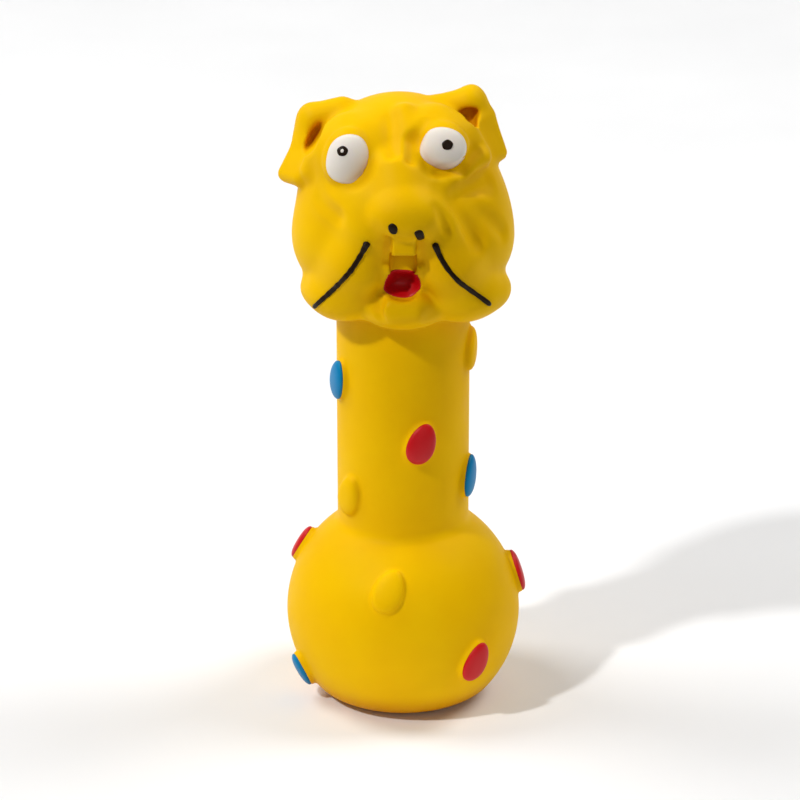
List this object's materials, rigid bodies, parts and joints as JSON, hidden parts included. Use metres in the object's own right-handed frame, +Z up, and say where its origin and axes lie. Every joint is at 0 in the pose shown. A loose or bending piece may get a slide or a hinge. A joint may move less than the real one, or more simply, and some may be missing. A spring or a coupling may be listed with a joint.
{
  "type": "latex dog chew toy",
  "caption": "Squeaky latex chew toy for a dog: a bulldog's head on a long spotted neck and a round bulb, with a press-in squeaker in its base",
  "frame": {"origin": "on the plane of the foot, under the middle of the toy's box", "axes": "+Z up along the neck, the face looks along -Y, +X to the right as the face is looked at"},
  "size_m": [0.0688, 0.0706, 0.1782],
  "materials": {
    "yellow_latex": "satin pigmented latex",
    "red_latex": "glossy hand-laid latex colour",
    "blue_latex": "glossy hand-laid latex colour",
    "white_latex": "satin hand-laid latex colour",
    "black_latex": "glossy hand-laid latex colour",
    "housing_plastic": "natural moulded plastic",
    "reed_plastic": "thin cut plastic film"
  },
  "bodies": {
    "toy": {"latex_skin": "yellow_latex", "squeaker_housing": "housing_plastic", "reed_core": "housing_plastic", "reed_wedge": "housing_plastic", "eye_white_left": "white_latex", "eye_white_right": "white_latex", "pupil_left": "black_latex", "pupil_right": "black_latex", "nostril_left": "black_latex", "nostril_right": "black_latex", "jowl_line_left": "black_latex", "jowl_line_right": "black_latex", "mouth_red": "red_latex", "red_spot_1": "red_latex", "red_spot_2": "red_latex", "red_spot_3": "red_latex", "red_spot_4": "red_latex", "red_spot_5": "red_latex", "red_spot_6": "red_latex", "red_spot_7": "red_latex", "blue_spot_1": "blue_latex", "blue_spot_2": "blue_latex", "blue_spot_3": "blue_latex", "blue_spot_4": "blue_latex", "blue_spot_5": "blue_latex"},
    "reed_tongue": {"reed": "reed_plastic"}
  },
  "joints": [
    {"name": "reed_flutter", "type": "hinge", "parent": "toy", "child": "reed_tongue", "pos_m": [-0.0011, -0.0003, 0.0126], "axis": [1, 0, 0], "range_deg": [-2, 3], "stiffness_Nm_per_rad": 0.001}
  ]
}
